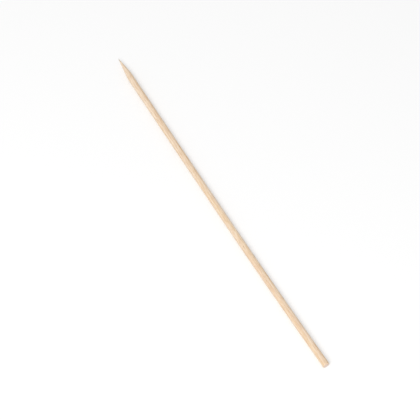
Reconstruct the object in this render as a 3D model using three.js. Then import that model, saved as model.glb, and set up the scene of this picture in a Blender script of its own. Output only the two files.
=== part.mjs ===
// A round bamboo skewer, made from one splint: drawn through a round die, ground to a long
// point at one end and sawn square at the other.
//
// Millimetres, +Z up. The skewer lies on the plane z = 0 as it comes to rest: on the flatter
// side of its section, with its bow in the horizontal plane. The point looks along -X and the
// sawn end along +X. The origin is the middle of the footprint of its box.

import * as THREE from 'three';

// The splint
const LENGTH = 250; // from the point to the sawn end
const DIAMETER = 4; // mean of the drawn shaft
const OVALITY = 0.08; // how much wider than high the shaft is drawn
const CORNER_RISE = 0.05; // how far the section's four soft corners stand out of the oval
const BOW = 0.75; // how far the middle lies from the straight line between the ends
const SWAY = 0.15; // how far the grain carries it to either side of that bow

// The ground point
const POINT_LENGTH = 19; // from the tip to where the whole drawn skin is left
const SHOULDER_LENGTH = 6.5; // the rounded stretch between the cone and the shaft
const TIP_DIAMETER = 0.16; // what the grinding leaves of the needle
const TIP_OFFSET = 0.2; // how far the tip lies from the shaft's axis
const TIP_SIDE = THREE.MathUtils.degToRad(35); // to which side of the shaft, from +Y towards +Z

// The sawn end
const EDGE_WEAR = 0.12; // how much the rubbed edge round the sawn face takes off

// Fineness of the mesh
const SIDES = 36;
const TIP_RINGS = 4; // over the round of the tip
const POINT_RINGS = 26;
const SHAFT_RING_SPACING = 4;

const SHAFT_RADIUS = DIAMETER / 2;
const TIP_RADIUS = TIP_DIAMETER / 2;

// The cone would reach the shaft's mean radius halfway along the rounded shoulder.
const CONE_SLOPE = (SHAFT_RADIUS - TIP_RADIUS) / (POINT_LENGTH - SHOULDER_LENGTH / 2);
const SHOULDER_ROUND = CONE_SLOPE * SHOULDER_LENGTH / 2;

// The smaller of two radii, with the corner between them rounded off.
function roundedLesser(a, b, rounding) {
  const overlap = Math.max(rounding - Math.abs(a - b), 0) / rounding;
  return Math.min(a, b) - overlap * overlap * rounding / 4;
}

// Radius of the drawn shaft. The angle runs from +Y towards +Z, so the section is widest
// along Y and rests on the flatter stretch between two of its soft corners.
function drawnRadius(angle) {
  const oval = OVALITY / 4 * Math.cos(2 * angle);
  const corners = CORNER_RISE / 2 * Math.cos(4 * angle);
  return SHAFT_RADIUS + oval - corners;
}

// How far the ring at this distance from the tip is drawn aside, towards the tip's own axis.
function ringOffset(fromTip) {
  return TIP_OFFSET * (1 - THREE.MathUtils.smoothstep(fromTip, 0, POINT_LENGTH));
}

// Radius that the grinding leaves, from the ring's centre. The cone stands on the tip's
// axis, so towards the shoulder its wall is nearer on one side than on the other.
function groundRadius(fromTip, angle) {
  const cone = TIP_RADIUS + fromTip * CONE_SLOPE;
  const aside = TIP_OFFSET - ringOffset(fromTip);
  const towards = aside * Math.cos(angle - TIP_SIDE);
  return towards + Math.sqrt(cone * cone - aside * aside + towards * towards);
}

function skewerRadius(fromTip, angle) {
  return roundedLesser(groundRadius(fromTip, angle), drawnRadius(angle), SHOULDER_ROUND);
}

// Sideways place of the splint's axis: the bow's one arc, and the sway's slow S upon it.
function axisSway(fromTip) {
  const along = fromTip / LENGTH;
  const arc = BOW * (2 * along - 1) ** 2;
  const wave = SWAY * Math.sin(2 * Math.PI * along);
  return arc + wave;
}

// Half outline on the shaft's axis: the needle's round tip, the ground point, the shaft and
// the sawn face with its worn edge. Its first number is 1 on the skewer's own surface and
// less on the end faces, and its second is the distance from the tip.
function halfOutline() {
  const outline = [new THREE.Vector2(0, 0)];
  for (let ring = 1; ring <= TIP_RINGS; ring += 1) {
    const turn = Math.PI / 2 * ring / TIP_RINGS;
    outline.push(new THREE.Vector2(Math.sin(turn), TIP_RADIUS * (1 - Math.cos(turn))));
  }
  for (let ring = 1; ring <= POINT_RINGS; ring += 1) {
    const along = (ring / POINT_RINGS) ** 1.5;
    outline.push(new THREE.Vector2(1, TIP_RADIUS + (POINT_LENGTH - TIP_RADIUS) * along));
  }
  const shaftEnd = LENGTH - EDGE_WEAR;
  const shaftRings = Math.ceil((shaftEnd - POINT_LENGTH) / SHAFT_RING_SPACING);
  for (let ring = 1; ring <= shaftRings; ring += 1) {
    const along = ring / shaftRings;
    outline.push(new THREE.Vector2(1, POINT_LENGTH + (shaftEnd - POINT_LENGTH) * along));
  }
  outline.push(new THREE.Vector2(1 - EDGE_WEAR / SHAFT_RADIUS, LENGTH));
  outline.push(new THREE.Vector2(0, LENGTH));
  return outline;
}

// Turns the outline once round, then gives each ring its true section and place.
function skewerGeometry() {
  const geometry = new THREE.LatheGeometry(halfOutline(), SIDES, Math.PI / SIDES);
  const position = geometry.getAttribute('position');
  for (let i = 0; i < position.count; i += 1) {
    const share = Math.hypot(position.getX(i), position.getZ(i));
    const fromTip = position.getY(i);
    const angle = Math.atan2(position.getX(i), position.getZ(i));
    const radius = share * skewerRadius(fromTip, angle);
    const offset = ringOffset(fromTip);
    const y = axisSway(fromTip) + offset * Math.cos(TIP_SIDE) + radius * Math.cos(angle);
    const z = offset * Math.sin(TIP_SIDE) + radius * Math.sin(angle);
    position.setXYZ(i, fromTip - LENGTH / 2, y, z);
  }
  geometry.computeVertexNormals();
  return geometry;
}

// Lays the skewer on the plane z = 0, with the middle of its footprint on the origin.
function layDown(geometry) {
  geometry.computeBoundingBox();
  const { min, max } = geometry.boundingBox;
  geometry.translate(-(min.x + max.x) / 2, -(min.y + max.y) / 2, -min.z);
  return geometry;
}

const bamboo = new THREE.MeshStandardMaterial({
  color: 0xedd3ae,
  roughness: 0.72,
  metalness: 0,
});

const skewer = new THREE.Mesh(layDown(skewerGeometry()), bamboo);
skewer.name = 'skewer';

const part = new THREE.Group();
part.add(skewer);

export default part;
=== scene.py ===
"""A round bamboo skewer on a pale floor: its drawn and ground surface, its grain and the light."""

import math
from typing import NamedTuple

import bpy
import numpy as np
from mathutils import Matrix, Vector


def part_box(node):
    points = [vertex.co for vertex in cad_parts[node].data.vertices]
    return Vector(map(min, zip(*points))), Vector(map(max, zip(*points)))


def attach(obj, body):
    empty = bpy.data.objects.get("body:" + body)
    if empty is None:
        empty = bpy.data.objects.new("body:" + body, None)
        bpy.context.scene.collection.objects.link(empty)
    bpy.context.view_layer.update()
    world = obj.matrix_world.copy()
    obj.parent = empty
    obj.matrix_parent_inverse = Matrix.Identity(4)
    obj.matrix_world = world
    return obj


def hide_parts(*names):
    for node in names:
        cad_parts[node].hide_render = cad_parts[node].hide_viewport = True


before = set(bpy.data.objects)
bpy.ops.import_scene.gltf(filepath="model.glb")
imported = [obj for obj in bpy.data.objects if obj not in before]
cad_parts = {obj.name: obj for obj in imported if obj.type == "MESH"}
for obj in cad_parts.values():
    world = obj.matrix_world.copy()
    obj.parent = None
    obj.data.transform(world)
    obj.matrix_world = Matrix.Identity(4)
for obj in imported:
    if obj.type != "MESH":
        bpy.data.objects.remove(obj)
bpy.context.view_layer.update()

MM = 0.001
TURN = 2.0 * math.pi
SEED = 41
SOLID_LOW, SOLID_HIGH = (np.array(corner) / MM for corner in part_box("skewer"))

# The splint, in millimetres, as in the part's source
LENGTH = 250.0
DIAMETER = 4.0
OVALITY = 0.08
CORNER_RISE = 0.05
BOW = 0.75
SWAY = 0.15
POINT_LENGTH = 19.0
SHOULDER_LENGTH = 6.5
TIP_DIAMETER = 0.16
TIP_OFFSET = 0.2
TIP_SIDE = math.radians(35.0)

SHAFT_RADIUS = DIAMETER / 2.0
TIP_RADIUS = TIP_DIAMETER / 2.0
CONE_SLOPE = (SHAFT_RADIUS - TIP_RADIUS) / (POINT_LENGTH - SHOULDER_LENGTH / 2.0)
SHOULDER_ROUND = CONE_SLOPE * SHOULDER_LENGTH / 2.0

# How far the fine surface lies inside the solid, in millimetres
SKIN = 0.035
FACE_RECESS = 0.12
TIP_RECESS = 0.02
SIDE_END = LENGTH - FACE_RECESS

# Fineness of the mesh: faces round the skewer, and rings along each stretch
SIDES = 128
POINT_RINGS = 150
POINT_CROWDING = 1.35  # above 1, the point's rings crowd towards the tip
SHAFT_RINGS = 500
FACE_RINGS = 18
FACE_HUB = 0.02  # share of the radius at which the sawn face's rings end
FIBRE_RINGS = 8

# Layers of fine relief: height in millimetres, spacing along in millimetres, and number round
FLUTES = (0.012, 60.0, 17)
BUNDLE_RIDGES = (0.012, 38.0, 31)
FIBRE_RIDGES = (0.009, 16.0, 63)
GRINDING_FLATS = (0.022, 5.0, 11)
GRINDING_RINGS = (0.007, 0.45, 5)
HARD_FIBRES = (0.008, 4.0, 40)
DRAWN_RELIEF = (FLUTES, BUNDLE_RIDGES, FIBRE_RIDGES)
GROUND_RELIEF = (GRINDING_FLATS, GRINDING_RINGS, HARD_FIBRES)
SPARE_ROWS = 3  # rows of such a layer beyond the skewer's length
GROUND_RELIEF_DEPTH = 0.25  # how deep the wheel has cut where its marks show in full

# Fine checks along the fibres, in millimetres, and half their width round the skewer in radians
SPLIT_COUNT = 26
SPLIT_DEPTH = 0.05
SPLIT_STARTS = (18.0, 225.0)
SPLIT_LENGTHS = (6.0, 34.0)
SPLIT_HALF_ANGLES = (0.03, 0.055)

# The sawn end, in millimetres: its worn edge, torn wood and the saw's own ridges
EDGE_WEAR = 0.1
EDGE_REACH = 0.35
EDGE_UNEVENNESS = (0.06, 400.0, 37)
TORN_WOOD = (0.03, 6.0, 24)
TORN_SPAN = 60.0  # the face's radius, as a length in the noise of the torn wood
SAW_RIDGE_HEIGHT = 0.012
SAW_RIDGE_WAVES = 9.0  # radians of ridge for each millimetre across
RIM_CALM = 6  # the higher this power, the nearer to the rim the face is torn

# Fibres that have sprung loose, in millimetres: at the rim, on the point, the rest on the shaft
FIBRE_COUNT = 44
RIM_FIBRE_COUNT = 14
POINT_FIBRE_COUNT = 8
FIBRE_HALF_WIDTHS = (0.03, 0.06)
FIBRE_END = 0.004
FIBRE_FLATNESS = 0.6  # thickness over width
FIBRE_BURIED = 0.05
FIBRE_SECTION = ((1.0, 0.0), (0.0, 1.0), (-1.0, 0.0), (0.0, -1.0))  # outwards, and round
FIBRE_SIDES = len(FIBRE_SECTION)
RIM_FIBRE_LENGTHS = (0.6, 3.0)
RIM_FIBRE_RECESSES = (0.02, 0.2)
RIM_FIBRE_LIFTS = (0.02, 0.13)
POINT_FIBRE_LENGTHS = (0.7, 2.0)
POINT_FIBRE_STARTS = (4.0, 14.0)
POINT_FIBRE_LIFTS = (0.05, 0.16)
SHAFT_FIBRE_LENGTHS = (1.5, 6.0)
SHAFT_FIBRE_STARTS = (20.0, 238.0)
SHAFT_FIBRE_LIFTS = (0.06, 0.22)

# Where the wood counts as ground, as depths under the shaft's mean radius in millimetres
GROUND_FROM = 0.08
GROUND_FADE = 0.12

# The texture map holds the unrolled skin in rows, with the end faces and the fibres above them
MAP_ROWS = 3
MAP_ROW_PITCH = 0.295
MAP_ROW_HEIGHT = 0.285
MAP_EDGE = 0.004
SAWN_SPOT = (0.055, 0.943, 0.047)
NEEDLE_SPOT = (0.13, 0.943, 0.015)
FIBRE_STRIP = (0.17, 0.90, 0.82, 0.085)

# A fibre's cell in that strip holds one field for each face, as shares of the cell or its row
CELL_MARGIN = 0.1
FIELD_PITCH = 0.2
FIELD_WIDTH = 0.17
FIELD_HEIGHT = 0.85


# Form of the splint

def smooth_step(value, end):
    """0 at 0 and 1 from the end on, with a smooth rise between."""
    share = np.clip(value / end, 0.0, 1.0)
    return share * share * (3.0 - 2.0 * share)


def rounded_lesser(a, b, rounding):
    """The smaller of two radii, with the corner between them rounded off."""
    overlap = np.maximum(rounding - np.abs(a - b), 0.0) / rounding
    return np.minimum(a, b) - overlap * overlap * rounding / 4.0


def drawn_radius(angle):
    """Radius of the drawn shaft, from its ring's centre."""
    oval = OVALITY / 4.0 * np.cos(2.0 * angle)
    corners = CORNER_RISE / 2.0 * np.cos(4.0 * angle)
    return SHAFT_RADIUS + oval - corners - SKIN


def ring_offset(from_tip):
    """How far a ring lies aside, towards the tip's own axis."""
    return TIP_OFFSET * (1.0 - smooth_step(from_tip, POINT_LENGTH))


def ground_radius(from_tip, angle):
    """Radius that the grinding leaves, from the ring's centre: the cone has the tip's axis."""
    cone = TIP_RADIUS + from_tip * CONE_SLOPE
    aside = TIP_OFFSET - ring_offset(from_tip)
    towards = aside * np.cos(angle - TIP_SIDE)
    wall = towards + np.sqrt(cone * cone - aside * aside + towards * towards)
    return wall - SKIN * smooth_step(from_tip, POINT_LENGTH)


def axis_sway(from_tip):
    """Sideways place of the splint's axis: the bow's one arc, and the sway's slow S upon it."""
    along = from_tip / LENGTH
    return BOW * (2.0 * along - 1.0) ** 2 + SWAY * np.sin(TURN * along)


def axis_place(from_tip):
    """The axis in the frame: its sway centred on Y, and the solid's middle height."""
    sway = axis_sway(np.linspace(POINT_LENGTH, LENGTH, SHAFT_RINGS))
    aside = axis_sway(from_tip) - (sway.min() + sway.max()) / 2.0
    return aside, (SOLID_LOW[2] + SOLID_HIGH[2]) / 2.0


def place(fibre):
    """Puts points into the frame, in metres, and keeps them inside the solid's box.

    They are given as along the splint from the tip, and across it from its axis.
    """
    aside, height = axis_place(fibre[:, 0])
    inward = TIP_RECESS * (1.0 - fibre[:, 0] / LENGTH)
    places = np.empty_like(fibre)
    places[:, 0] = fibre[:, 0] - LENGTH / 2.0 + inward
    places[:, 1] = fibre[:, 1] + aside
    places[:, 2] = fibre[:, 2] + height
    return np.clip(places, SOLID_LOW, SOLID_HIGH) * MM


def across_axis(from_tip, angle, radius):
    """Points at a radius from their ring's centre, as place() takes them."""
    offset = ring_offset(from_tip)
    across_y = offset * math.cos(TIP_SIDE) + radius * np.cos(angle)
    across_z = offset * math.sin(TIP_SIDE) + radius * np.sin(angle)
    return np.stack(np.broadcast_arrays(from_tip, across_y, across_z), -1)


# Fine relief of the surface

def lattice_noise(rng, along, angle, spacing, count):
    """Smooth noise from -1 to 1: one value every spacing mm along, and count round."""
    rows = int(LENGTH / spacing) + SPARE_ROWS
    values = rng.uniform(-1.0, 1.0, (rows, count))
    step = along / spacing
    row = np.floor(step).astype(int)
    turn = (angle / TURN % 1.0) * count
    column = np.floor(turn).astype(int)
    a = smooth_step(step - row, 1.0)
    b = smooth_step(turn - column, 1.0)
    left, right = column % count, (column + 1) % count
    near = values[row, left] * (1.0 - b) + values[row, right] * b
    far = values[row + 1, left] * (1.0 - b) + values[row + 1, right] * b
    return near * (1.0 - a) + far * a


def relief(rng, along, angle, layers):
    """Height of several layers of noise together, in millimetres."""
    height = np.zeros_like(along)
    for layer_height, spacing, count in layers:
        height += layer_height * lattice_noise(rng, along, angle, spacing, count)
    return height


def splits(rng, along, angle):
    """Fine checks along the fibres, as a depth in millimetres."""
    depth = np.zeros_like(along)
    for _ in range(SPLIT_COUNT):
        start = rng.uniform(*SPLIT_STARTS)
        length = rng.uniform(*SPLIT_LENGTHS)
        side = rng.uniform(0.0, TURN)
        half_angle = rng.uniform(*SPLIT_HALF_ANGLES)
        from_middle = np.abs((along - start) / length * 2.0 - 1.0)
        lengthwise = np.clip(1.0 - from_middle ** 3, 0.0, 1.0)
        round_gap = np.abs((angle - side + math.pi) % TURN - math.pi)
        depth += SPLIT_DEPTH * lengthwise * np.clip(1.0 - round_gap / half_angle, 0.0, 1.0)
    return depth


# Mesh of the skewer

class Shell:
    """Points, faces and texture places of one mesh, gathered piece by piece."""

    def __init__(self):
        self.points, self.sawn, self.faces, self.corners = [], [], [], []
        self.count = 0

    def add(self, points, faces, corners, sawn=0.0):
        """Adds points, faces that number them from 0, and a texture place for each corner."""
        points = np.asarray(points).reshape(-1, 3)
        self.faces += (np.asarray(faces) + self.count).tolist()
        self.corners += np.asarray(corners).reshape(-1, 2).tolist()
        self.points.append(points)
        self.sawn.append(np.broadcast_to(sawn, len(points)))
        self.count += len(points)

    def mesh(self, name):
        """The gathered mesh in the frame, with its texture map and what the material reads."""
        fibre = np.concatenate(self.points)
        mesh = bpy.data.meshes.new(name)
        mesh.from_pydata(place(fibre).tolist(), [], self.faces)
        mesh.update()
        smooth = np.ones(len(mesh.polygons), dtype=bool)
        mesh.polygons.foreach_set("use_smooth", smooth)
        layer = mesh.uv_layers.new(name="OFBake")
        layer.data.foreach_set("uv", np.array(self.corners, dtype=np.float32).ravel())
        write_attribute(mesh, "fibre", "FLOAT_VECTOR", "vector", fibre)
        write_attribute(mesh, "sawn", "FLOAT", "value", np.concatenate(self.sawn))
        write_attribute(mesh, "ground", "FLOAT", "value", ground_share(fibre))
        return mesh


def write_attribute(mesh, name, kind, field, values):
    attribute = mesh.attributes.new(name, kind, "POINT")
    attribute.data.foreach_set(field, np.asarray(values, dtype=np.float32).ravel())


def ground_share(fibre):
    """1 where the wheel has cut under the drawn skin, and 0 on the skin."""
    reach = np.hypot(fibre[:, 1], fibre[:, 2])
    cut = np.clip((SHAFT_RADIUS - GROUND_FROM - reach) / GROUND_FADE, 0.0, 1.0)
    return cut * (fibre[:, 0] < POINT_LENGTH)


def ring_quads(rings):
    """Outward quads between rings of SIDES points, with each quad's ring and side."""
    ring, side = np.meshgrid(np.arange(rings - 1), np.arange(SIDES), indexing="ij")
    ring, side = ring.ravel(), side.ravel()
    after = (side + 1) % SIDES
    here, beyond = ring * SIDES, (ring + 1) * SIDES
    quads = np.stack([here + after, beyond + after, beyond + side, here + side], -1)
    return quads, ring, side


def rim_fan():
    """Faces from a rim of SIDES points to the point after them, looking towards the tip."""
    here = np.arange(SIDES)
    after = (here + 1) % SIDES
    return np.stack([np.full(SIDES, SIDES), after, here], -1)


def skin_map(stations, ring, side):
    """Texture places of the side's quads: the skin unrolled, and cut into MAP_ROWS rows."""
    cuts = np.searchsorted(stations, LENGTH * np.arange(1, MAP_ROWS) / MAP_ROWS)
    starts = np.concatenate([[0], cuts])
    ends = np.concatenate([cuts, [len(stations) - 1]])
    row = np.searchsorted(cuts, ring, side="right")
    first, last = stations[starts[row]], stations[ends[row]]
    width = 1.0 - 2.0 * MAP_EDGE
    near = MAP_EDGE + width * (stations[ring] - first) / (last - first)
    far = MAP_EDGE + width * (stations[ring + 1] - first) / (last - first)
    low = MAP_EDGE + row * MAP_ROW_PITCH + MAP_ROW_HEIGHT * side / SIDES
    high = low + MAP_ROW_HEIGHT / SIDES
    return np.stack([near, high, far, high, far, low, near, low], -1)


def spot_map(spot, angle, share):
    """Texture places on an end face, drawn as a disc."""
    middle_u, middle_v, radius = spot
    u = middle_u + radius * share * np.cos(angle)
    v = middle_v + radius * share * np.sin(angle)
    return np.stack([u, v], -1)


def add_side(shell, rng, turns):
    """The ground point and the drawn shaft, up to the worn edge of the sawn end."""
    point = POINT_LENGTH * np.linspace(0.0, 1.0, POINT_RINGS + 1) ** POINT_CROWDING
    shaft = np.linspace(POINT_LENGTH, SIDE_END, SHAFT_RINGS + 1)
    stations = np.concatenate([point, shaft[1:]])
    along, angle = np.meshgrid(stations, turns, indexing="ij")

    drawn = drawn_radius(angle) + relief(rng, along, angle, DRAWN_RELIEF)
    drawn = drawn - splits(rng, along, angle)
    ground = ground_radius(along, angle)
    cut = np.clip((drawn - ground) / GROUND_RELIEF_DEPTH, 0.0, 1.0)
    marks = relief(rng, along, angle, GROUND_RELIEF)
    ground = ground + marks * cut * ground / SHAFT_RADIUS
    radius = rounded_lesser(ground, drawn, SHOULDER_ROUND)

    worn = EDGE_WEAR + relief(rng, along, angle, [EDGE_UNEVENNESS])
    radius = radius - worn * np.clip(1.0 - (SIDE_END - along) / EDGE_REACH, 0.0, 1.0) ** 2

    points = across_axis(along, angle, radius)
    quads, ring, side = ring_quads(len(stations))
    shell.add(points, quads, skin_map(stations, ring, side))
    return points[0], points[-1]


def add_needle_end(shell, rim, turns):
    """The blunt speck at the end of the needle."""
    after = turns + TURN / SIDES
    middle = spot_map(NEEDLE_SPOT, turns, 0.0)
    corners = [middle, spot_map(NEEDLE_SPOT, after, 1.0), spot_map(NEEDLE_SPOT, turns, 1.0)]
    shell.add(np.concatenate([rim, [rim.mean(axis=0)]]), rim_fan(), np.stack(corners, 1))


def add_sawn_face(shell, rng, rim, turns):
    """The sawn face: rings that close on the middle, torn a little by the saw."""
    shares = np.linspace(1.0, FACE_HUB, FACE_RINGS)
    share, angle = np.meshgrid(shares, turns, indexing="ij")
    torn = relief(rng, share * TORN_SPAN, angle, [TORN_WOOD])
    ridges = SAW_RIDGE_HEIGHT * np.sin(rim[None, :, 1] * share * SAW_RIDGE_WAVES)
    points = rim[None, :, :] * share[..., None]
    points[..., 0] = SIDE_END + (torn + ridges) * (1.0 - share ** RIM_CALM)

    quads, ring, side = ring_quads(FACE_RINGS)
    here, after = turns[side], turns[side] + TURN / SIDES
    near, far = shares[ring], shares[ring + 1]
    places = ((after, near), (after, far), (here, far), (here, near))
    corners = [spot_map(SAWN_SPOT, *corner) for corner in places]
    shell.add(points, quads, np.stack(corners, 1), sawn=1.0)

    places = ((turns, 0.0), (turns, FACE_HUB), (turns + TURN / SIDES, FACE_HUB))
    corners = [spot_map(SAWN_SPOT, *corner) for corner in places]
    hub = np.concatenate([points[-1], [points[-1].mean(axis=0)]])
    shell.add(hub, rim_fan()[:, [0, 2, 1]], np.stack(corners, 1), sawn=1.0)


def room_round_axis(along, angle):
    """How far the solid's box lies from the splint's axis, towards an angle."""
    aside, height = axis_place(along)
    walls = SOLID_HIGH if math.cos(angle) > 0.0 else SOLID_LOW
    to_side = (walls[1] - aside) / math.cos(angle)
    walls = SOLID_HIGH if math.sin(angle) > 0.0 else SOLID_LOW
    to_top = (walls[2] - height) / math.sin(angle)
    return np.minimum(to_side, to_top)


def fibre_cell(number, quads):
    """Texture places of one fibre: each face has a small field of its own in the fibre's cell."""
    left, low, strip_width, strip_height = FIBRE_STRIP
    cell = strip_width / FIBRE_COUNT
    row_height = strip_height / (quads // FIBRE_SIDES + 1)
    face = np.arange(quads)
    u = left + cell * (number + CELL_MARGIN + FIELD_PITCH * (face % FIBRE_SIDES))
    v = low + row_height * (face // FIBRE_SIDES)
    right = u + cell * FIELD_WIDTH
    top = v + row_height * FIELD_HEIGHT
    return np.stack([u, v, right, v, right, top, u, top], -1)


def add_fibre(shell, number, start, angle, length, lift, half_width):
    """One loose fibre: four-sided rings along a curve that leaves the skin, and two ends."""
    share = np.linspace(0.0, 1.0, FIBRE_RINGS)
    along = start + length * share
    skin = rounded_lesser(ground_radius(along, angle), drawn_radius(angle), SHOULDER_ROUND)
    half = half_width * (1.0 - share ** 2) + FIBRE_END
    reach = skin - FIBRE_BURIED + (FIBRE_BURIED + lift) * share ** 2
    reach = np.minimum(reach, room_round_axis(along, angle) - half)
    edges = []
    for outwards, round_skin in FIBRE_SECTION:
        turned = angle + round_skin * half / SHAFT_RADIUS
        edges.append(across_axis(along, turned, reach + outwards * half * FIBRE_FLATNESS))
    quads = []
    for ring in range(FIBRE_RINGS - 1):
        for side in range(FIBRE_SIDES):
            here = ring * FIBRE_SIDES + side
            after = ring * FIBRE_SIDES + (side + 1) % FIBRE_SIDES
            quads.append([after, after + FIBRE_SIDES, here + FIBRE_SIDES, here])
    last_ring = (FIBRE_RINGS - 1) * FIBRE_SIDES
    quads.append(list(range(FIBRE_SIDES)))
    quads.append([last_ring + side for side in reversed(range(FIBRE_SIDES))])
    shell.add(np.stack(edges, 1), quads, fibre_cell(number, len(quads)))


def add_fibres(shell, rng):
    """Fibres round the sawn rim, on the ground point and here and there along the shaft."""
    for number in range(FIBRE_COUNT):
        angle = rng.uniform(0.0, TURN)
        if number < RIM_FIBRE_COUNT:
            length = rng.uniform(*RIM_FIBRE_LENGTHS)
            start = LENGTH - rng.uniform(*RIM_FIBRE_RECESSES) - length
            lift = rng.uniform(*RIM_FIBRE_LIFTS)
        elif number < RIM_FIBRE_COUNT + POINT_FIBRE_COUNT:
            length = rng.uniform(*POINT_FIBRE_LENGTHS)
            start = rng.uniform(*POINT_FIBRE_STARTS)
            lift = rng.uniform(*POINT_FIBRE_LIFTS)
        else:
            length = rng.uniform(*SHAFT_FIBRE_LENGTHS)
            start = rng.uniform(*SHAFT_FIBRE_STARTS)
            lift = rng.uniform(*SHAFT_FIBRE_LIFTS)
        half_width = rng.uniform(*FIBRE_HALF_WIDTHS)
        add_fibre(shell, number, start, angle, length, lift, half_width)


def build_skewer():
    """The whole visible skewer, as one mesh."""
    rng = np.random.default_rng(SEED)
    turns = -TURN / 4.0 + np.arange(SIDES) * TURN / SIDES
    shell = Shell()
    needle_rim, sawn_rim = add_side(shell, rng, turns)
    add_needle_end(shell, needle_rim, turns)
    add_sawn_face(shell, rng, sawn_rim, turns)
    add_fibres(shell, rng)
    return shell.mesh("skewer_surface")


# Shader nodes

def srgb(red, green, blue):
    """A colour as read off a screen, 0 to 255, as the linear colour that a shader takes."""
    def linear(level):
        share = level / 255.0
        return share / 12.92 if share <= 0.04045 else ((share + 0.055) / 1.055) ** 2.4
    return (linear(red), linear(green), linear(blue), 1.0)


class Grain(NamedTuple):
    """A pattern in the wood: its cells per millimetre along X, Y and Z, and where it starts."""
    scale: tuple
    start: tuple = (0.0, 0.0, 0.0)
    detail: float = 2.0
    rough: float = 0.5


class Stain(NamedTuple):
    """A tint on the wood that grows as a pattern goes from one level to another."""
    grain: Grain
    nothing_at: float
    full_at: float
    share: float
    tint: tuple


class Nodes:
    """Short calls for the nodes of one material."""

    def __init__(self, owner):
        owner.use_nodes = True
        self.tree = owner.node_tree
        self.tree.nodes.clear()

    def add(self, kind, **settings):
        node = self.tree.nodes.new(kind)
        for name, value in settings.items():
            setattr(node, name, value)
        return node

    def feed(self, socket, value):
        """Links a socket to an output, or sets it to a value."""
        if isinstance(value, bpy.types.NodeSocket):
            self.tree.links.new(value, socket)
        else:
            socket.default_value = value

    def attribute(self, name, output):
        return self.add("ShaderNodeAttribute", attribute_name=name).outputs[output]

    def math(self, operation, a, b):
        node = self.add("ShaderNodeMath", operation=operation)
        self.feed(node.inputs[0], a)
        self.feed(node.inputs[1], b)
        return node.outputs[0]

    def plus(self, a, b):
        return self.math("ADD", a, b)

    def times(self, a, b):
        return self.math("MULTIPLY", a, b)

    def greater(self, a, b):
        return self.math("MAXIMUM", a, b)

    def patterned(self, kind, vector, grain, **settings):
        """A pattern node that reads a vector at a grain's own scale and start."""
        place_node = self.add("ShaderNodeVectorMath", operation="MULTIPLY_ADD")
        for socket, value in zip(place_node.inputs, (vector, grain.scale, grain.start)):
            self.feed(socket, value)
        node = self.add(kind, **settings)
        self.feed(node.inputs["Vector"], place_node.outputs[0])
        self.feed(node.inputs["Scale"], 1.0)
        return node

    def noise(self, vector, grain):
        node = self.patterned("ShaderNodeTexNoise", vector, grain, noise_dimensions="3D")
        self.feed(node.inputs["Detail"], grain.detail)
        self.feed(node.inputs["Roughness"], grain.rough)
        return node.outputs["Fac"]

    def cells(self, vector, grain):
        """Distance to the nearest of scattered middles."""
        settings = {"voronoi_dimensions": "3D", "feature": "F1"}
        node = self.patterned("ShaderNodeTexVoronoi", vector, grain, **settings)
        return node.outputs["Distance"]

    def remap(self, value, low, high, to_low=0.0, to_high=1.0):
        """A value that goes smoothly from to_low to to_high as another goes from low to high."""
        node = self.add("ShaderNodeMapRange", interpolation_type="SMOOTHSTEP")
        for socket, number in zip(node.inputs, (value, low, high, to_low, to_high)):
            self.feed(socket, number)
        return node.outputs["Result"]

    def mix(self, share, a, b):
        """One colour mixed into another. The node's colour sockets are its A, B and Result."""
        node = self.add("ShaderNodeMix", data_type="RGBA", blend_type="MIX")
        first, second, result = 6, 7, 2
        self.feed(node.inputs[0], share)
        self.feed(node.inputs[first], a)
        self.feed(node.inputs[second], b)
        return node.outputs[result]

    def stain(self, colour, level, stain):
        """A colour with a stain on it, where a pattern's level calls for it."""
        share = self.remap(level, stain.nothing_at, stain.full_at, 0.0, stain.share)
        return self.mix(share, colour, stain.tint)

    def noise_stain(self, colour, vector, stain):
        return self.stain(colour, self.noise(vector, stain.grain), stain)


# Bamboo

# Slow changes of tint along and across the splint
WARM_WOOD = srgb(241, 213, 183)
PALE_WOOD = srgb(248, 226, 201)
TINT_GRAIN = Grain((0.022, 0.35, 0.35), detail=1.0)
TINT_LEVELS = (0.35, 0.65)
BLUSH = Stain(
    Grain((0.03, 0.5, 0.5), (17.0, 3.0, 9.0), detail=1.0), 0.48, 0.72, 0.55, srgb(242, 209, 186)
)
GOLD = Stain(
    Grain((0.018, 0.9, 0.9), (3.0, 21.0, 5.0), detail=1.0), 0.5, 0.66, 0.7, srgb(236, 204, 158)
)

# The culm's outer side, which is underneath: heights from the axis in millimetres
OUTER_HEIGHTS = (-0.5, -2.0)
OUTER_SHARE = 0.4
OUTER_WOOD = srgb(226, 204, 148)

# Fibre bundles and threads, as columns along the splint
BUNDLES = Stain(Grain((0.006, 2.2, 2.2)), 0.42, 0.14, 0.7, srgb(206, 162, 114))
BUNDLE_FADE = Grain((0.045, 1.4, 1.4), (5.0, 8.0, 2.0), detail=1.0)
BUNDLE_FADE_LEVELS = (0.38, 0.6)
THREADS = Stain(Grain((0.02, 5.0, 5.0), (4.0, 1.0, 7.0)), 0.45, 0.15, 0.3, srgb(218, 180, 136))

# Single fibres, the pores between them, and the flecks where they meet the surface
FLECK_GRAIN = Grain((0.2, 3.2, 3.2), (6.0, 1.0, 3.0), rough=0.6)
DARK_FIBRES = Stain(
    Grain((0.09, 9.0, 9.0), detail=3.0, rough=0.6), 0.42, 0.7, 0.45, srgb(220, 184, 142)
)
PALE_FIBRES = Stain(
    Grain((0.05, 4.5, 4.5), (9.0, 2.0, 4.0)), 0.52, 0.7, 0.7, srgb(251, 234, 210)
)
PORES = Stain(
    Grain((0.3, 7.0, 7.0), (2.0, 4.0, 6.0), detail=1.0), 0.66, 0.74, 0.55, srgb(166, 122, 84)
)
DARK_FLECKS = Stain(FLECK_GRAIN, 0.5, 0.66, 0.42, srgb(212, 174, 134))
PALE_FLECKS = Stain(FLECK_GRAIN, 0.5, 0.34, 0.5, srgb(254, 240, 220))

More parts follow.
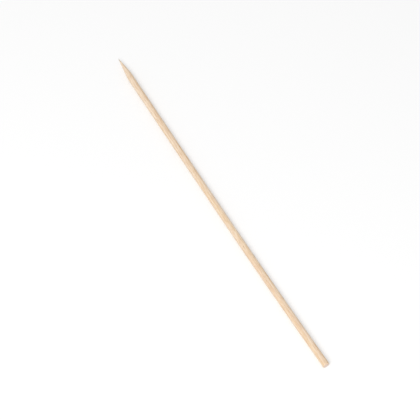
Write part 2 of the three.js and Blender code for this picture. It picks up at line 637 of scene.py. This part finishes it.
# The ground point, and its needle, which dulls within some millimetres of the tip
GROUND_SHARE = 0.35
GROUND_WOOD = srgb(252, 231, 207)
NEEDLE_REACH = (4.0, 0.8)
NEEDLE_SHARE = 0.75
NEEDLE_WOOD = srgb(178, 168, 150)

# The sawn face, where the bundles show as dots
SAWN_SHARE = 0.9
SAWN_WOOD = srgb(249, 231, 220)
SAWN_MOTTLE = Stain(
    Grain((0.0, 1.1, 1.1), (0.0, 6.0, 2.0), detail=3.0, rough=0.6),
    0.42, 0.66, 0.6, srgb(228, 198, 178),
)
SAWN_DOTS = Stain(Grain((0.0, 2.6, 2.6), (0.0, 3.0, 8.0)), 0.42, 0.18, 0.75, srgb(190, 150, 120))
TORN_GRAIN = Grain((9.0, 9.0, 9.0))
SAW_GRAIN = Grain((0.0, 0.7, 11.0))

# Gloss, and the bump of the finest relief as heights over that of a single fibre
FIBRE_LEVELS = (0.3, 0.7)
FIBRE_ROUGHNESS = (0.54, 0.74)
BARE_ROUGHNESS = 0.15  # how much duller ground and sawn wood is
SPECULAR_LEVEL = 0.35
BUNDLE_BUMP = 0.5
TORN_BUMP = 2.5
SAW_BUMP = 3.0
PORE_BUMP = -1.2
BUMP_STRENGTH = 0.7
BUMP_HEIGHT = 0.035 * MM


def wood_tints(n, fibre):
    """The wood's colour before its fibres: slow tints, and more gold on the outer side."""
    tint = n.noise(fibre, TINT_GRAIN)
    colour = n.mix(n.remap(tint, *TINT_LEVELS), WARM_WOOD, PALE_WOOD)
    colour = n.noise_stain(colour, fibre, BLUSH)
    colour = n.noise_stain(colour, fibre, GOLD)
    split = n.add("ShaderNodeSeparateXYZ")
    n.feed(split.inputs[0], fibre)
    outer = n.remap(split.outputs["Z"], *OUTER_HEIGHTS, 0.0, OUTER_SHARE)
    return n.mix(outer, colour, OUTER_WOOD)


def with_bundles(n, fibre, colour, bare, bundle):
    """The colour with bundles that come to the drawn skin for a stretch, and threads."""
    fade = n.noise(fibre, BUNDLE_FADE)
    shown = n.greater(n.remap(fade, *BUNDLE_FADE_LEVELS), bare)
    colour = n.mix(n.times(n.times(bundle, shown), BUNDLES.share), colour, BUNDLES.tint)
    return n.stain(colour, n.cells(fibre, THREADS.grain), THREADS)


def with_fibres(n, fibre, colour, fine, pores):
    """The colour with its single fibres, pale or dark, pores and flecks."""
    colour = n.stain(colour, fine, DARK_FIBRES)
    colour = n.noise_stain(colour, fibre, PALE_FIBRES)
    colour = n.mix(n.times(pores, PORES.share), colour, PORES.tint)
    flecks = n.noise(fibre, FLECK_GRAIN)
    colour = n.stain(colour, flecks, DARK_FLECKS)
    return n.stain(colour, flecks, PALE_FLECKS)


def with_ends(n, fibre, colour, ground, sawn):
    """The colour with a paler ground point, its dull needle and the pinker sawn face."""
    colour = n.mix(n.times(ground, GROUND_SHARE), colour, GROUND_WOOD)
    split = n.add("ShaderNodeSeparateXYZ")
    n.feed(split.inputs[0], fibre)
    needle = n.remap(split.outputs["X"], *NEEDLE_REACH, 0.0, NEEDLE_SHARE)
    colour = n.mix(needle, colour, NEEDLE_WOOD)
    face = n.noise_stain(SAWN_WOOD, fibre, SAWN_MOTTLE)
    face = n.stain(face, n.cells(fibre, SAWN_DOTS.grain), SAWN_DOTS)
    return n.mix(n.times(sawn, SAWN_SHARE), colour, face)


def fine_bump(n, fibre, sawn, fine, bundle, pores):
    """The finest relief: fibres, bundles and pores, and torn wood and saw marks on the face."""
    torn = n.times(n.noise(fibre, TORN_GRAIN), TORN_BUMP)
    saw_marks = n.times(n.noise(fibre, SAW_GRAIN), SAW_BUMP)
    height = n.plus(fine, n.times(bundle, BUNDLE_BUMP))
    height = n.plus(height, n.times(n.plus(torn, saw_marks), sawn))
    height = n.plus(height, n.times(pores, PORE_BUMP))
    bump = n.add("ShaderNodeBump")
    n.feed(bump.inputs["Strength"], BUMP_STRENGTH)
    n.feed(bump.inputs["Distance"], BUMP_HEIGHT)
    n.feed(bump.inputs["Height"], height)
    return bump.outputs[0]


def bamboo_material():
    """Raw bamboo: bundles run through the whole splint, and show as streaks, flecks and dots."""
    material = bpy.data.materials.new("raw_bamboo")
    n = Nodes(material)
    fibre = n.attribute("fibre", "Vector")
    ground = n.attribute("ground", "Fac")
    sawn = n.attribute("sawn", "Fac")
    bare = n.greater(ground, sawn)
    fine = n.noise(fibre, DARK_FIBRES.grain)
    bundle = n.remap(n.cells(fibre, BUNDLES.grain), BUNDLES.nothing_at, BUNDLES.full_at)
    pores = n.remap(n.noise(fibre, PORES.grain), PORES.nothing_at, PORES.full_at)

    colour = wood_tints(n, fibre)
    colour = with_bundles(n, fibre, colour, bare, bundle)
    colour = with_fibres(n, fibre, colour, fine, pores)
    colour = with_ends(n, fibre, colour, ground, sawn)
    roughness = n.remap(fine, *FIBRE_LEVELS, *FIBRE_ROUGHNESS)
    roughness = n.plus(roughness, n.times(bare, BARE_ROUGHNESS))

    shader = n.add("ShaderNodeBsdfPrincipled")
    n.feed(shader.inputs["Base Color"], colour)
    n.feed(shader.inputs["Roughness"], roughness)
    n.feed(shader.inputs["Normal"], fine_bump(n, fibre, sawn, fine, bundle, pores))
    shader.inputs["Specular IOR Level"].default_value = SPECULAR_LEVEL
    output = n.add("ShaderNodeOutputMaterial")
    n.feed(output.inputs["Surface"], shader.outputs[0])
    return material


# Floor and surroundings

WHITE = (1.0, 1.0, 1.0, 1.0)
FLOOR_SIZE = 6.0
FLOOR_GREY = (0.8, 0.8, 0.8, 1.0)
FLOOR_LIFT = (0.24, 0.8)  # what is added towards white, near the skewer and far off
FLOOR_LIFT_REACH = (0.25, 1.6)  # distances in metres between which it grows
SKY_LIGHT = 0.61
SKY_SEEN = 1.0


def seen_directly(n):
    """1 for rays by which the camera sees a thing, straight, mirrored or through glass."""
    path = n.add("ShaderNodeLightPath")
    direct = n.greater(path.outputs["Is Camera Ray"], path.outputs["Is Glossy Ray"])
    return n.greater(direct, path.outputs["Is Transmission Ray"])


def floor_material():
    """Pale grey that takes the skewer's shadow, lifted towards white where it is looked at."""
    material = bpy.data.materials.new("pale_floor")
    n = Nodes(material)
    diffuse = n.add("ShaderNodeBsdfDiffuse")
    diffuse.inputs["Color"].default_value = FLOOR_GREY
    away = n.add("ShaderNodeVectorMath", operation="LENGTH")
    n.feed(away.inputs[0], n.add("ShaderNodeTexCoord").outputs["Object"])
    level = n.remap(away.outputs["Value"], *FLOOR_LIFT_REACH, *FLOOR_LIFT)
    lift = n.add("ShaderNodeEmission")
    n.feed(lift.inputs["Strength"], n.times(seen_directly(n), level))
    both = n.add("ShaderNodeAddShader")
    n.feed(both.inputs[0], diffuse.outputs[0])
    n.feed(both.inputs[1], lift.outputs[0])
    output = n.add("ShaderNodeOutputMaterial")
    n.feed(output.inputs["Surface"], both.outputs[0])
    return material


def build_floor():
    half = FLOOR_SIZE / 2.0
    mesh = bpy.data.meshes.new("floor")
    corners = [(-half, -half, 0.0), (half, -half, 0.0), (half, half, 0.0), (-half, half, 0.0)]
    mesh.from_pydata(corners, [], [(0, 1, 2, 3)])
    mesh.materials.append(floor_material())
    floor = bpy.data.objects.new("floor", mesh)
    bpy.context.collection.objects.link(floor)


def build_world():
    """Even white light from all round, and a white background behind the floor."""
    world = bpy.data.worlds.new("studio")
    bpy.context.scene.world = world
    n = Nodes(world)
    background = n.add("ShaderNodeBackground")
    background.inputs["Color"].default_value = WHITE
    level = n.plus(n.times(seen_directly(n), SKY_SEEN - SKY_LIGHT), SKY_LIGHT)
    n.feed(background.inputs["Strength"], level)
    output = n.add("ShaderNodeOutputWorld")
    n.feed(output.inputs["Surface"], background.outputs[0])


# Light and camera, in metres and watts

KEY_FROM = Vector((0.6, -0.7, 1.0))
KEY_DISTANCE = 1.6
KEY_SIZE = 0.9
KEY_POWER = 13.0

CAMERA_AZIMUTH = math.radians(60.278)
CAMERA_ELEVATION = math.radians(57.987)
CAMERA_DISTANCE = 0.70181
CAMERA_AIM = Vector((0.00405, -0.00455, 0.0))
CAMERA_LENS = 100.33  # focal length in millimetres, on a sensor SENSOR_WIDTH millimetres wide
SENSOR_WIDTH = 36.0
CLIP_START = 0.01
CLIP_END = 20.0


def put(thing, place_in_frame, back):
    """Puts a lamp or camera at a place, looking against the direction back."""
    bpy.context.collection.objects.link(thing)
    thing.location = place_in_frame
    thing.rotation_euler = back.to_track_quat("Z", "Y").to_euler()


def build_key_light():
    data = bpy.data.lights.new("softbox", "AREA")
    data.shape = "SQUARE"
    data.size = KEY_SIZE
    data.energy = KEY_POWER
    back = KEY_FROM.normalized()
    put(bpy.data.objects.new("softbox", data), back * KEY_DISTANCE, back)


def build_camera():
    data = bpy.data.cameras.new("camera")
    data.sensor_width = SENSOR_WIDTH
    data.lens = CAMERA_LENS
    data.clip_start = CLIP_START
    data.clip_end = CLIP_END
    level = math.cos(CAMERA_ELEVATION)
    back = Vector((
        math.sin(CAMERA_AZIMUTH) * level,
        -math.cos(CAMERA_AZIMUTH) * level,
        math.sin(CAMERA_ELEVATION),
    ))
    camera = bpy.data.objects.new("camera", data)
    put(camera, CAMERA_AIM + back * CAMERA_DISTANCE, back)
    bpy.context.scene.camera = camera


# Making

build_camera()
build_world()
build_key_light()
build_floor()

skewer = bpy.data.objects.new("bamboo_skewer", build_skewer())
bpy.context.collection.objects.link(skewer)
skewer.data.materials.append(bamboo_material())
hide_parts("skewer")
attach(skewer, "root")

bpy.context.scene.view_settings.view_transform = "Standard"
